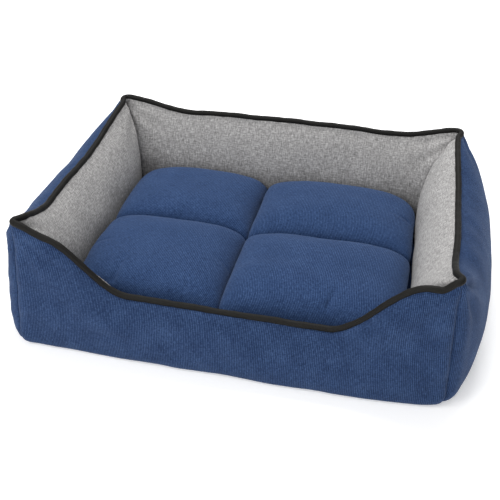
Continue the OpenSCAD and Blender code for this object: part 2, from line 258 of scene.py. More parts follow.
def outer_profile(w, u, h):
    # the stuffing has settled a little towards the back on the right, towards the front on the left
    lean = (0, 0.05, 0, 0.05)[w] * np.clip(1.6 * u, -1, 1)
    swell = (BULGE[w] + (0, 0.001, 0, -0.002)[w]) * (1 - np.abs(u) ** 3.4) ** 0.66 * (1 + lean)
    side = np.clip(1 - np.abs(2 * h - 1) ** 2.5, 0, 1) ** 0.5
    n = (rim_n(w, u) + 0.001) * h + swell * side + FLARE * (1 - h) + 0.1 * swell * (1 - h) ** 2
    # the foot turns under, and the upright corner seams are soft
    near_end = smooth(0.88, 1, np.abs(u))
    spread_foot = np.where(u > 0, FOOT_SPREAD[w], FOOT_SPREAD[(w + 3) % 4])
    low = np.clip(1 - h / mix(0.05, 0.11, near_end), 0, 1)
    turned = 1 - np.sqrt(np.clip(1 - low ** 2, 0, 1))
    n = n - mix(0.006, 0.010, near_end) * turned + spread_foot * near_end * (1 - h)
    if w == FRONT:
        n = n + 0.009 * u * (1 - u ** 6) * (1 - h) ** 2
    if w == RIGHT:
        n = n - 0.003 * smooth(0, 0.15, 1 - np.abs(u)) * (1 - h)
    edge = np.clip((np.abs(u) - 0.965) / 0.035, 0, 1)
    n = n - 0.006 * (1 - np.sqrt(np.clip(1 - edge ** 2, 0, 1))) * (1 - smooth(0.8, 0.97, h))
    return n, mix(0.0014, rim_z(w, u) - PIPING_SEAM, h)


def belly(w, u):
    corner = np.where(u > 0, CORNER_BELLY[w], CORNER_BELLY[(w + 3) % 4])
    return mix(BELLY[w], corner, smooth(0.5 if w in (RIGHT, LEFT) else 0.8, 1, np.abs(u)))


def inner_profile(w, u, h):
    full = 0.42
    x = np.clip((h - full) / (1 - full), 0, 1)
    q = np.where(h < full, 1 - 0.25 * (1 - h / full) ** 2, (1 - x ** 2) ** 0.8)
    # the cloth is drawn into the seam between two linings
    seam = 0.011 * np.exp(-(1 - np.abs(u)) * HALF[w] / 0.009) * smooth(1.0, 0.93, h)
    n = rim_n(w, u) - 0.001 - (belly(w, u) + 0.002) * q + seam
    z = mix(CLOTH + SHEET_GAP, rim_z(w, u) - PIPING_SEAM, h)
    if w == FRONT:
        # the front lining stands proud of the piping where it comes down from the corners
        proud = np.exp(-((u + 0.63) / 0.16) ** 2) + 1.1 * np.exp(-((u - 0.50) / 0.07) ** 2)
        z = z + 0.0046 * proud * smooth(0.78, 0.93, h) * smooth(1.0, 0.965, h)
    return n, z


def corner_turn(w, u):
    """How far from the rim corner the piping begins to turn."""
    return np.where(u > 0, TURNS[w], TURNS[(w + 3) % 4])


def wall_grid(w, profile, us, hs, shape):
    """The wall's skin. shape(u, h) moves it outward from the wall's middle, in metres."""
    u, h = np.meshgrid(us, hs, indexing="ij")
    n, z = profile(w, u, h)
    n_end = np.where(u > 0, profile(w, np.ones_like(u), h)[0], profile(w, -np.ones_like(u), h)[0])
    # near the rim the upright corner is rounded like the piping sewn to it
    turn = corner_turn(w, u)
    rounding = 0.36 * turn * np.exp(-2.2 * (1 - np.abs(u)) * HALF[w] / turn) * smooth(0.80, 0.99, h)
    p = place(w, u * (HALF[w] + n_end) - np.sign(u) * rounding, n - rounding, z)
    nv = grid_normals(p) * (1 if profile is outer_profile else -1)
    p = p + nv * shape(u, h)[..., None]
    p[..., 2] = np.maximum(p[..., 2], 0.0009)
    return p


def ear_pulls(w, u, h, seed):
    """Soft folds that run out from the two rim corners of a wall."""
    total = 0
    for side in (-1, 1):
        dx = (1 - side * u) * HALF[w]
        dz = (1 - h) * EAR
        r = np.hypot(dx, dz)
        a = np.arctan2(dz, np.maximum(dx, 1e-6))
        total = total + (np.sin(a * 9.0 + 1.3 * side + seed + 12 * r) * np.exp(-((r - 0.045) / 0.045) ** 2)
                         * smooth(0.004, 0.03, r) * smooth(1.5, 1.1, a) * smooth(0.02, 0.25, a))
    return total


def outer_folds(w):
    """Puckers along the corner seams and under the piping, and slow undulations of the stuffing."""
    def f(u, h):
        x = u * HALF[w]
        y = h * EAR
        end = (1 - np.abs(u)) * HALF[w]
        top_d = (1 - h) * EAR
        keep = smooth(0, 0.004, end) * smooth(0, 0.004, top_d) * smooth(0, 0.03, h)
        slanted = y / 0.017 + 0.25 * np.sign(u) * end / 0.017
        side = 0.0016 * noise(slanted, end / 0.05, 11 + w) * np.exp(-end / 0.026)
        top = 0.0013 * noise((x + 0.5 * top_d) / 0.026, y / 0.09, 31 + w) * np.exp(-top_d / 0.032)
        slow = 0.0020 * noise(x / 0.085 + 3.1, y / 0.06, 51 + w) + 0.0008 * noise(x / 0.034, y / 0.03, 71 + w)
        ears = (0.0032 if w in (LEFT, RIGHT) else 0.0008) * ear_pulls(w, u, h, w)
        return (side + top + ears + slow * smooth(0, 0.03, end)) * keep
    return f


def inner_folds(w):
    """The same for the lining, with a shorter reach."""
    def f(u, h):
        x = u * HALF[w]
        y = h * EAR
        end = (1 - np.abs(u)) * HALF[w]
        top_d = (1 - h) * EAR
        keep = smooth(0, 0.005, end) * smooth(0, 0.006, top_d) * smooth(0, 0.05, h)
        side = 0.0018 * noise(y / 0.016, end / 0.045, 111 + w) * np.exp(-end / 0.024)
        top = 0.0014 * noise(x / 0.019, y / 0.08, 131 + w) * np.exp(-top_d / 0.026)
        slow = 0.0013 * noise(x / 0.07 + 1.7, y / 0.06, 151 + w) - 0.0010
        ears = 0.0012 * ear_pulls(w, u, h, w + 2)
        return (side + top + slow + ears) * keep
    return f


def shade(w, us, z):
    """Painted shade on the lining, 0 to 1: darkest along the cushion and in the corner seams, where shade
    falls.
    """
    end = (1 - np.abs(us))[:, None] * HALF[w]
    low = smooth(0.150, 0.085, z)
    corner = np.exp(-end / 0.016)
    return 1 - (1 - 0.9 * low ** 1.5) * (1 - 0.75 * corner)


ROWS = 0.5 - 0.5 * np.cos(np.linspace(0, math.pi, 57))
COUNT = [230, 170, 200, 170]


# ---------------------------------------------------------------- materials

class Nodes:
    """A short way to build a material's node tree."""

    def __init__(self, name):
        self.mat = bpy.data.materials.new(name)
        self.mat.use_nodes = True
        self.tree = self.mat.node_tree
        self.tree.nodes.clear()
        self.out = self.new("ShaderNodeOutputMaterial")
        self.bsdf = self.new("ShaderNodeBsdfPrincipled")
        self.tree.links.new(self.bsdf.outputs[0], self.out.inputs["Surface"])

    def new(self, kind, **values):
        n = self.tree.nodes.new(kind)
        for k, v in values.items():
            setattr(n, k, v)
        return n

    def put(self, node, name, value):
        socket = node.inputs[name]
        if isinstance(value, bpy.types.NodeSocket):
            self.tree.links.new(value, socket)
        else:
            socket.default_value = value

    def cloth(self):
        """Metres along the cloth in X and Y, and the lining's painted shade in Z."""
        return self.new("ShaderNodeAttribute", attribute_name="cloth").outputs["Vector"]

    def point(self):
        return self.new("ShaderNodeTexCoord").outputs["Object"]

    def scale(self, vector, xyz):
        n = self.new("ShaderNodeMapping")
        self.put(n, "Vector", vector)
        n.inputs["Scale"].default_value = xyz
        return n.outputs[0]

    def noise(self, vector, scale=1.0, detail=2.0, rough=0.5):
        n = self.new("ShaderNodeTexNoise")
        self.put(n, "Vector", vector)
        n.inputs["Scale"].default_value = scale
        n.inputs["Detail"].default_value = detail
        n.inputs["Roughness"].default_value = rough
        return n.outputs["Fac"]

    def wave(self, vector, scale, direction="X", distortion=0.0, detail=0.0, detail_scale=1.0):
        n = self.new("ShaderNodeTexWave", wave_type="BANDS", bands_direction=direction, wave_profile="SIN")
        self.put(n, "Vector", vector)
        n.inputs["Scale"].default_value = scale
        n.inputs["Distortion"].default_value = distortion
        n.inputs["Detail"].default_value = detail
        n.inputs["Detail Scale"].default_value = detail_scale
        return n.outputs["Fac"]

    def ramp(self, fac, stops):
        n = self.new("ShaderNodeValToRGB")
        self.put(n, "Fac", fac)
        e = n.color_ramp.elements
        while len(e) < len(stops):
            e.new(0.5)
        for i, (pos, col) in enumerate(stops):
            e[i].position = pos
            e[i].color = (*col, 1)
        return n.outputs["Color"]

    def math(self, op, a, b):
        n = self.new("ShaderNodeMath", operation=op)
        for i, v in enumerate((a, b)):
            if isinstance(v, bpy.types.NodeSocket):
                self.tree.links.new(v, n.inputs[i])
            else:
                n.inputs[i].default_value = v
        return n.outputs[0]

    def mix(self, fac, a, b):
        n = self.new("ShaderNodeMix", data_type="RGBA")
        for socket, v in ((n.inputs["Factor"], fac), (n.inputs[6], a), (n.inputs[7], b)):
            if isinstance(v, bpy.types.NodeSocket):
                self.tree.links.new(v, socket)
            else:
                socket.default_value = (*v, 1) if isinstance(v, tuple) else v
        return n.outputs[2]

    def bump(self, height, strength, distance, normal=None):
        n = self.new("ShaderNodeBump")
        n.inputs["Strength"].default_value = strength
        n.inputs["Distance"].default_value = distance
        self.put(n, "Height", height)
        if normal is not None:
            self.put(n, "Normal", normal)
        return n.outputs[0]

    def done(self, rough, sheen=0.0, sheen_tint=(1, 1, 1), sheen_rough=0.5, specular=0.3, metallic=0.0):
        b = self.bsdf.inputs
        self.put(self.bsdf, "Roughness", rough)
        b["Sheen Weight"].default_value = sheen
        b["Sheen Tint"].default_value = (*sheen_tint, 1)
        b["Sheen Roughness"].default_value = sheen_rough
        b["Specular IOR Level"].default_value = specular
        b["Metallic"].default_value = metallic
        return self.mat


# how many bands a wave texture of scale 1 has in a metre
BANDS = 3.1831


def blue_cloth(name, dark, mid, light, rib=1.0, mottle=0.16):
    """Heathered upholstery cloth with a fine upright rib and a twill across it."""
    m = Nodes(name)
    c = m.cloth()
    # threads: streaks stretched along the rib and across it
    along = m.noise(m.scale(c, (900, 160, 1)), 1.0, 3.0, 0.6)
    across = m.noise(m.scale(c, (170, 800, 1)), 1.0, 3.0, 0.6)
    heather = m.math("ADD", m.math("MULTIPLY", along, 0.55), m.math("MULTIPLY", across, 0.45))
    cloudy = m.noise(m.scale(c, (26, 22, 1)), 1.0, 4.0, 0.6)
    ribs = m.wave(c, 1 / 0.0026 / BANDS, "X", 1.1, 2.0, 60.0)
    picks = m.wave(c, 1 / 0.0019 / BANDS, "Y", 1.0, 2.0, 60.0)
    weave = m.math("ADD", m.math("MULTIPLY", ribs, 0.62 * rib), m.math("MULTIPLY", picks, 0.30))
    fac = m.math("ADD", m.math("MULTIPLY", heather, 0.62), m.math("MULTIPLY", weave, 0.24))
    fac = m.math("ADD", fac, m.math("MULTIPLY", m.math("ADD", cloudy, -0.5), mottle))
    fac = m.math("ADD", fac, 0.08)
    col = m.ramp(fac, [(0.36, dark), (0.50, mid), (0.66, light)])
    m.put(m.bsdf, "Base Color", col)
    h = m.math("ADD", weave, m.math("MULTIPLY", heather, 0.6))
    m.put(m.bsdf, "Normal", m.bump(h, 0.55, 0.0006, m.bump(cloudy, 0.25, 0.0015)))
    rough = m.math("ADD", 0.80, m.math("MULTIPLY", heather, 0.2))
    return m.done(rough, sheen=0.15, sheen_tint=(0.45, 0.60, 0.95), sheen_rough=0.45, specular=0.12)


def grey_cloth(name, dark, mid, light):
    """Melange lining: pale and dark yarns crossing, with slubs, darkened by painted shade along the cushion
    and in the corner seams.
    """
    m = Nodes(name)
    c = m.cloth()
    warp = m.noise(m.scale(c, (620, 90, 1)), 1.0, 4.0, 0.65)
    weft = m.noise(m.scale(c, (110, 560, 1)), 1.0, 4.0, 0.65)
    specks = m.noise(m.scale(c, (330, 300, 1)), 1.0, 3.0, 0.7)
    cloudy = m.noise(m.scale(c, (30, 26, 1)), 1.0, 3.0, 0.55)
    warp_wave = m.wave(c, 1 / 0.0017 / BANDS, "X", 1.2, 2.0, 70.0)
    weft_wave = m.wave(c, 1 / 0.0019 / BANDS, "Y", 1.2, 2.0, 70.0)
    weave = m.math("MULTIPLY", m.math("ADD", warp_wave, weft_wave), 0.5)
    fac = m.math("ADD", m.math("MULTIPLY", warp, 0.38), m.math("MULTIPLY", weft, 0.34))
    fac = m.math("ADD", fac, m.math("MULTIPLY", specks, 0.22))
    fac = m.math("ADD", fac, m.math("MULTIPLY", cloudy, 0.06))
    col = m.ramp(fac, [(0.34, dark), (0.50, mid), (0.64, light)])
    # painted shade: the cloth's Z, mottled a little, darkens the lining towards near-black along the cushion
    # and in the corner seams
    split = m.new("ShaderNodeSeparateXYZ")
    m.put(split, "Vector", c)
    painted_shade = m.math("MULTIPLY", split.outputs[2], m.math("ADD", 0.35, m.math("MULTIPLY", cloudy, 0.3)))
    m.put(m.bsdf, "Base Color", m.mix(painted_shade, col, (0.030, 0.029, 0.030)))
    h = m.math("ADD", m.math("MULTIPLY", weave, 0.6), m.math("MULTIPLY", specks, 0.7))
    m.put(m.bsdf, "Normal", m.bump(h, 0.5, 0.0005, m.bump(cloudy, 0.2, 0.0012)))
    rough = m.math("ADD", 0.82, m.math("MULTIPLY", specks, 0.15))
    return m.done(rough, sheen=0.12, sheen_tint=(1, 0.98, 0.95), specular=0.15)


def black_tape(name):
    """Satin bias tape: a fine diagonal twill with a soft shine."""
    m = Nodes(name)
    c = m.cloth()
    rot = m.new("ShaderNodeMapping")
    m.put(rot, "Vector", c)
    rot.inputs["Rotation"].default_value = (0, 0, math.radians(38))
    twill = m.wave(rot.outputs[0], 1 / 0.0011 / BANDS, "X", 0.6, 1.0, 60.0)
    fibre = m.noise(m.scale(rot.outputs[0], (1300, 180, 1)), 1.0, 3.0, 0.6)
    slow = m.noise(m.scale(c, (45, 60, 1)), 1.0, 2.0, 0.5)
    fac = m.math("ADD", m.math("MULTIPLY", twill, 0.45), m.math("MULTIPLY", fibre, 0.55))
    dark, mid, light = (0.002, 0.002, 0.0017), (0.007, 0.0065, 0.0055), (0.020, 0.018, 0.015)
    m.put(m.bsdf, "Base Color", m.ramp(fac, [(0.25, dark), (0.6, mid), (0.9, light)]))
    m.put(m.bsdf, "Normal", m.bump(fac, 0.45, 0.0003, m.bump(slow, 0.35, 0.0009)))
    rough = m.math("ADD", 0.52, m.math("MULTIPLY", slow, 0.18))
    return m.done(rough, sheen=0.02, sheen_tint=(0.8, 0.8, 0.8), specular=0.16)


def plain_cloth(name, dark, light, pitch, sheen=0.1):
    """A plain basket weave."""
    m = Nodes(name)
    c = m.cloth()
    a = m.wave(c, 1 / pitch / BANDS, "X", 0.8, 1.0, 60.0)
    b = m.wave(c, 1 / pitch / BANDS, "Y", 0.8, 1.0, 60.0)
    b2 = m.wave(c, 1 / pitch / BANDS, "Z", 0.8, 1.0, 60.0)
    weave = m.math("ADD", m.math("MULTIPLY", a, b), m.math("MULTIPLY", b2, 0.35))
    dirt = m.noise(m.scale(c, (60, 60, 60)), 1.0, 4.0, 0.6)
    fac = m.math("ADD", m.math("MULTIPLY", weave, 0.5), m.math("MULTIPLY", dirt, 0.5))
    m.put(m.bsdf, "Base Color", m.ramp(fac, [(0.2, dark), (0.85, light)]))
    m.put(m.bsdf, "Normal", m.bump(weave, 0.4, 0.0003))
    return m.done(m.math("ADD", 0.80, m.math("MULTIPLY", dirt, 0.12)), sheen=sheen, specular=0.2)


def metal(name, base, worn):
    """Painted metal, worn a little paler where it is handled."""
    m = Nodes(name)
    c = m.point()
    wear = m.noise(m.scale(c, (420, 420, 420)), 1.0, 5.0, 0.65)
    fine = m.noise(m.scale(c, (2600, 2600, 2600)), 1.0, 2.0, 0.5)
    m.put(m.bsdf, "Base Color", m.ramp(wear, [(0.5, base), (0.72, worn)]))
    m.put(m.bsdf, "Normal", m.bump(fine, 0.12, 0.00008))
    return m.done(m.math("ADD", 0.28, m.math("MULTIPLY", wear, 0.25)), specular=0.5, metallic=0.75)


def gloss(name, base, light):
    """Smooth plastic or rubber with faint streaks."""
    m = Nodes(name)
    c = m.point()
    n = m.noise(m.scale(c, (300, 900, 900)), 1.0, 2.0, 0.5)
    m.put(m.bsdf, "Base Color", m.ramp(n, [(0.3, base), (0.8, light)]))
    m.put(m.bsdf, "Normal", m.bump(n, 0.1, 0.0001))
    return m.done(m.math("ADD", 0.25, m.math("MULTIPLY", n, 0.15)), specular=0.5)


BLUE = blue_cloth("blue_weave", (0.0046, 0.012, 0.037), (0.0156, 0.034, 0.091), (0.060, 0.107, 0.220))
BLUE_CUSHION = blue_cloth("blue_cushion", (0.0053, 0.0145, 0.0445), (0.0196, 0.0435, 0.114),
                          (0.067, 0.122, 0.258), rib=0.9, mottle=0.08)
GREY = grey_cloth("grey_lining", (0.092, 0.090, 0.088), (0.325, 0.318, 0.314), (0.66, 0.65, 0.64))
TAPE = black_tape("piping_tape")
BASE_CLOTH = plain_cloth("nonslip_cloth", (0.012, 0.013, 0.016), (0.045, 0.047, 0.053), 0.0016)
FLOOR_CLOTH = plain_cloth("floor_cloth", (0.022, 0.05, 0.14), (0.05, 0.10, 0.24), 0.0016)
THREAD = plain_cloth("thread", (0.012, 0.028, 0.080), (0.035, 0.070, 0.170), 0.0005, sheen=0.3)
RUBBER = gloss("rubber_dots", (0.008, 0.008, 0.009), (0.02, 0.02, 0.022))
ZIP_TAPE = plain_cloth("zip_tape_weave", (0.016, 0.030, 0.070), (0.040, 0.066, 0.140), 0.0009)
COIL = gloss("zip_coil_nylon", (0.012, 0.022, 0.055), (0.025, 0.042, 0.095))
STEEL = metal("zip_steel", (0.30, 0.30, 0.31), (0.52, 0.52, 0.53))
ZIP_METAL = metal("zip_painted_metal", (0.012, 0.012, 0.013), (0.06, 0.06, 0.062))


def finish(obj, material, body, slot, *nodes):
    """Gives a piece its material and body, and hides the CAD nodes that it replaces. slot is not used."""
    obj.data.materials.clear()
    obj.data.materials.append(material)
    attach(obj, body)
    if nodes:
        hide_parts(*nodes)
    return obj


# ---------------------------------------------------------------- the bed's walls

for w in range(4):
    name = NAMES[w]
    us = spread(COUNT[w], 0.35 if w == FRONT else 0.55)
    outside = wall_grid(w, outer_profile, us, ROWS, outer_folds(w))
    panel = finish(shell(name + "_outer_wall", outside, flip=True), BLUE, "bed", "blue_weave",
                   name + "_outer_panel", name + "_fill")
    inside = wall_grid(w, inner_profile, us, ROWS, inner_folds(w))
    lengths = cloth_lengths(inside)
    # the cloth's Z holds painted shade along the cushion and in the corner seams
    lengths[..., 2] = shade(w, us, inside[..., 2])
    inner = finish(shell(name + "_inner_wall", inside, cloth=lengths), GREY, "bed", "grey_lining",
                   name + "_lining")

# ---------------------------------------------------------------- the piping


def rim_path():
    """The piping's line, one closed loop with a rounded turn at each corner."""
    pts = []
    for w in range(4):
        start, end = -1 + TURNS[(w + 3) % 4] / HALF[w], 1 - TURNS[w] / HALF[w]
        us = spread(COUNT[w], 0.35 if w == FRONT else 0.55) * (end - start) / 2 + (end + start) / 2
        p = place(w, us * HALF[w], rim_n(w, us), rim_z(w, us))
        w2 = (w + 1) % 4
        end2 = -(1 - TURNS[w] / HALF[w2])
        a = p[-1]
        c = place(w, HALF[w], rim_n(w, np.array(1.0)), rim_z(w, np.array(1.0)))
        b = place(w2, end2 * HALF[w2], rim_n(w2, np.array(end2)), rim_z(w2, np.array(end2)))
        t = np.linspace(0, 1, 11)[1:-1, None]
        pts += [p, (1 - t) ** 2 * a + 2 * t * (1 - t) * c + t * t * b]
    return np.concatenate(pts)


path = rim_path()
length = np.concatenate([[0], np.cumsum(np.linalg.norm(np.diff(path, axis=0), axis=1))])
total = length[-1] + np.linalg.norm(path[0] - path[-1])
q = 2 * math.pi * length / total
wobble = 0.0005 * np.sin(11 * q + 1) + 0.0004 * np.sin(23 * q + 2) + 0.0003 * np.sin(41 * q)
path[:, 2] += wobble
swell = PIPING_R * (1 + 0.03 * np.sin(67 * q + 1) + 0.025 * np.sin(113 * q))
finish(tube("rim_piping", path, swell, 20), TAPE, "bed", "piping_tape", "rim_piping_tape", "rim_piping_core")

# ---------------------------------------------------------------- base and floor


def outline(profile, h, inset, per=40):
    """The walls' line in plan at height share h, drawn in by inset."""
    pts = []
    for w in range(4):
        us = spread(per, 0.5)[:-1]
        n, _ = profile(w, us, np.full_like(us, h))
        end = profile(w, np.array(1.0), np.array(h))[0]
        p = place(w, us * (HALF[w] + end - inset), n - inset, 0.0)
        pts.append(p)
    return np.concatenate(pts)


def pad(name, loop, low, high, rings, lift=None):
    """A closed flat sheet inside an outline, as rings towards its middle."""
    centre = np.array([0, RIM_Y, 0])
    k = len(loop)
    shares = np.linspace(1, 0.02, rings)
    top = np.concatenate([centre + (loop - centre) * s for s in shares])
    bottom = top.copy()
    top[:, 2] = high + (0 if lift is None else lift(top[:, 0], top[:, 1]))
    bottom[:, 2] = low
    f = grid_faces(rings, k, wrap_cols=True)
    count = rings * k
    i = np.arange(k)
    j = (i + 1) % k
    faces = [tuple(x) for x in f] + [tuple(x[::-1] + count) for x in f]
    faces += [tuple(x) for x in np.stack([j, i, i + count, j + count], -1)]
    faces.append(tuple(int(x) for x in (rings - 1) * k + i))
    faces.append(tuple(int(x) for x in (count + (rings - 1) * k + i)[::-1]))
    v = np.concatenate([top, bottom])
    return link(name, v, faces, np.stack([v[:, 0], v[:, 1], v[:, 2]], -1))


finish(pad("nonslip_base", outline(outer_profile, 0.0, 0.0005), 0.0006, 0.0015, 18), BASE_CLOTH, "bed",
       "nonslip_cloth", "nonslip_base_panel")


def dots():
    """Rubber dots under the base, in staggered rows."""
    verts, faces = [], []
    pitch, r = 0.022, 0.0032
    ring = np.linspace(0, 2 * math.pi, 10, endpoint=False)
    row = 0
    half_x, half_y = 0.310, 0.235
    y = -half_y
    while y < half_y:
        x = -half_x + (row % 2) * pitch / 2
        while x < half_x:
            base_i = len(verts)
            for rr, z in ((1.0, 0.0007), (0.92, 0.0003), (0.6, 0.0)):
                verts += [(x + r * rr * math.cos(t), RIM_Y + y + r * rr * math.sin(t), z) for t in ring]
            n = len(ring)
            for k in range(2):
                for i in range(n):
                    j = (i + 1) % n
                    a = base_i + k * n
                    faces.append((a + j, a + i, a + n + i, a + n + j))
            faces.append(tuple(base_i + 2 * n + i for i in range(n - 1, -1, -1)))
            faces.append(tuple(base_i + i for i in range(n)))
            x += pitch
        y += pitch * 0.866
        row += 1
    return link("base_grip_dots", verts, faces)


finish(dots(), RUBBER, "bed", "nonslip_cloth")
finish(
    pad("inner_floor", outline(inner_profile, 0.0, 0.0006), CLOTH + SHEET_GAP, FLOOR_TOP, 24,
        lambda x, y: 0.0003 * noise(x / 0.05, y / 0.05, 5) - 0.0003),
    FLOOR_CLOTH, "bed", "floor_cloth", "inner_floor_panel")

# ---------------------------------------------------------------- the cushion

# the lengthwise seam, at CROSS_X, lies 3.5 mm right of the CAD model's
CROSS_X, CROSS_Y, TUCK, CROWN, ROOM = -0.0185, 0.010, 0.008, 0.123, 0.0022
CUSHION_HX = RIM_W / 2 - DRAW_IN - EDGE - (BELLY[LEFT] + BELLY[RIGHT]) / 2 - ROOM
CUSHION_HY = RIM_D / 2 - 0.002 - EDGE - BELLY[BACK] - ROOM
CUSHION_X = (BELLY[LEFT] - BELLY[RIGHT]) / 2
BORDER_X, BORDER_Y = CUSHION_HX - TUCK, CUSHION_HY - TUCK
BORDER_TOP, BORDER_FOOT, CUSHION_FOOT = 0.052, 0.036, FLOOR_TOP + 0.0004
SEAM_HEIGHT = 0.26
CORNER_DRAW = 0.045
# how sharply the cloth rounds over at the border, the lengthwise seam and the crosswise seam
ROUND, ROUND_X, ROUND_Y = 0.60, 0.60, 0.51


def chamber(s, seam, power):
    """Share of the way across a chamber and of its height, s from 0 at the border to 1 at the seam."""
    q1 = np.clip(s, 0, 0.5) * math.pi
    q2 = np.clip(s - 0.5, 0, 0.5) * math.pi
    x = np.where(s < 0.5, 0.5 * (1 - np.cos(q1) ** ROUND), 0.5 + 0.5 * np.sin(q2) ** power)
    z = np.where(s < 0.5, np.sin(q1) ** ROUND, seam + (1 - seam) * np.clip(np.cos(q2), 0, 1) ** power)
    return x, z


def even_places(seam, span, height, count, power):
    """Section places an even distance apart along the cloth of a chamber."""
    s = np.linspace(0, 1, 2001)
    x, z = chamber(s, seam, power)
    d = np.concatenate([[0], np.cumsum(np.hypot(np.diff(x) * span, np.diff(z) * height))])
    return np.interp(np.linspace(0, d[-1], count + 1), d, s)


def drawn_in(x, y):
    """Draws in the upright corners of the cushion, x and y from its middle."""
    narrow = 1 - CORNER_DRAW * np.abs(y / BORDER_Y) ** 8
    shallow = 1 - CORNER_DRAW * np.abs(x / BORDER_X) ** 8
    return x * narrow, y * shallow


def cushion_grid(face, nx, ny, crown=CROWN, grow=0.0):
    """A cover of the cushion, four chambers in one grid, and each point's places in its chamber."""
    seam = SEAM_HEIGHT if face > 0 else 0.05
    high = crown - BORDER_TOP if face > 0 else BORDER_FOOT - CUSHION_FOOT
    a = even_places(seam, CUSHION_HX, high, nx, ROUND_X)
    b = even_places(seam, CUSHION_HY, high, ny, ROUND_Y)
    sx = np.concatenate([-np.ones(nx), [1], np.ones(nx)])
    sy = np.concatenate([-np.ones(ny), [1], np.ones(ny)])
    A = np.concatenate([a[:-1], [1], a[:-1][::-1]])
    B = np.concatenate([b[:-1], [1], b[:-1][::-1]])
    SX, SY = np.meshgrid(sx, sy, indexing="ij")
    PA, PB = np.meshgrid(A, B, indexing="ij")
    ax, az = chamber(PA, seam, ROUND_X)
    bx, bz = chamber(PB, seam, ROUND_Y)
    h = az * bz
    out = (TUCK + grow) * np.clip(h / 0.4, 0, 1) ** 0.5 if face > 0 else -0.004 * h
    x, y = drawn_in(BORDER_X - (BORDER_X - SX * CROSS_X) * ax, BORDER_Y - (BORDER_Y - SY * CROSS_Y) * bx)
    z = mix(BORDER_TOP, crown, h) if face > 0 else mix(BORDER_FOOT, CUSHION_FOOT, h)
    x = CUSHION_X + SX * x * (1 + out / CUSHION_HX)
    y = RIM_Y + SY * y * (1 + out / CUSHION_HY)
    return np.stack([x, y, z], -1), PA, PB


def inflate(p, pinned, pressure, frames, slack, cap):
    """Blows the cloth up between its pinned seams with Blender's cloth, and returns the new points.

    A point moves cap at most, and its move is smoothed with its neighbours'.
    """
    rows, cols = p.shape[:2]
    tmp = link("inflate_tmp", p.reshape(-1, 3), grid_faces(rows, cols)[:, ::-1])
    group = tmp.vertex_groups.new(name="seams")
    group.add([int(i) for i in np.flatnonzero(pinned.ravel())], 1.0, "REPLACE")
    mod = tmp.modifiers.new("Cloth", "CLOTH")
    s = mod.settings
    s.quality = 6
    s.mass = 0.25
    s.tension_stiffness = s.compression_stiffness = 25
    s.shear_stiffness = 12
    s.bending_stiffness = 2.0
    s.tension_damping = s.compression_damping = s.shear_damping = 12
    s.bending_damping = 1.0
    s.air_damping = 3
    s.vertex_group_mass = "seams"
    s.pin_stiffness = 1
    s.shrink_min = -slack
    s.use_pressure = True
    s.uniform_pressure_force = pressure
    s.effector_weights.gravity = 0
    mod.collision_settings.use_self_collision = False
    mod.point_cache.frame_start = 1
    mod.point_cache.frame_end = frames
    scene = bpy.context.scene
    for f in range(1, frames + 1):
        scene.frame_set(f)
    dg = bpy.context.evaluated_depsgraph_get()
    ev = tmp.evaluated_get(dg)
    co = np.zeros(rows * cols * 3, np.float32)
    ev.data.vertices.foreach_get("co", co)
    scene.frame_set(1)
    mesh = tmp.data
    bpy.data.objects.remove(tmp)
    bpy.data.meshes.remove(mesh)
    move = co.reshape(rows, cols, 3).astype(float) - p
    far = np.linalg.norm(move, axis=-1, keepdims=True)
    move *= np.minimum(1, cap / np.maximum(far, 1e-9))
    free = 1.0 - pinned[..., None]
    passes = 14
    for _ in range(passes):
        move[1:-1] = (move[:-2] + 2 * move[1:-1] + move[2:]) / 4
        move[:, 1:-1] = (move[:, :-2] + 2 * move[:, 1:-1] + move[:, 2:]) / 4
        move *= free
    return p + move


def refine(p):
    """One subdivision of a grid, with a soft kernel so the cloth stays rounded."""
    def double(a, axis):
        a = np.moveaxis(a, axis, 0)
        mid = (a[:-1] + a[1:]) / 2
        if len(a) > 3:
            mid[1:-1] = (9 * (a[1:-2] + a[2:-1]) - (a[:-3] + a[3:])) / 16
        out = np.zeros((2 * len(a) - 1, *a.shape[1:]))
        out[::2], out[1::2] = a, mid
        return np.moveaxis(out, 0, axis)
    return double(double(p, 0), 1)


# short creases in the cushion's top: where each starts and ends from the bed's middle, and its depth
CREASES = (
    ((-0.192, -0.206), (-0.186, -0.160), 0.0052),
    ((0.142, -0.206), (0.150, -0.168), 0.0048),
    ((-0.075, -0.204), (-0.078, -0.176), 0.0026),
    ((0.040, 0.196), (0.036, 0.166), 0.0024),
    ((-0.150, 0.196), (-0.146, 0.170), 0.0022),
    ((0.243, 0.090), (0.212, 0.086), 0.0026),
    ((-0.252, -0.110), (-0.222, -0.112), 0.0026),
    ((-0.030, -0.126), (-0.056, -0.121), 0.0012),
    ((0.100, 0.002), (0.104, -0.024), 0.0012),
    ((-0.140, 0.006), (-0.136, 0.036), 0.0012),
)
CREASE_WIDTH = 0.0042


def puckers(p):
    """Gathers along the two quilting seams, short creases, and slow unevenness of the filling."""
    x, y, z = p[..., 0], p[..., 1], p[..., 2]
    cx, cy = CUSHION_X + CROSS_X, RIM_Y + CROSS_Y
    dx, dy = np.abs(x - cx), np.abs(y - cy)
    high = smooth(0.062, 0.085, z)
    move = 0.0010 * noise(x / 0.030 + 0.4, 7.3, 201) * np.exp(-dy / 0.014) * smooth(0.002, 0.012, dy)
    move = move + 0.0009 * noise(7.7, y / 0.028 + 0.2, 203) * np.exp(-dx / 0.013) * smooth(0.002, 0.012, dx)
    for (px, py), (qx, qy), deep in CREASES:
        vx, vy = qx - px, qy - py
        ll = vx * vx + vy * vy
        t = np.clip(((x - px) * vx + (y - py) * vy) / ll, 0, 1)
        d = np.hypot(x - px - t * vx, y - py - t * vy)
        move = move - deep * np.exp(-(d / CREASE_WIDTH) ** 2) * (1 - 0.85 * t)
    slow = 0.0012 * noise(x / 0.060 + 0.7, y / 0.050 + 0.1, 211)
    slow = slow + 0.0004 * noise(x / 0.022, y / 0.020, 213)
    n = grid_normals(p)
    return p + n * ((move + slow * high) * smooth(0.0525, 0.064, z))[..., None]


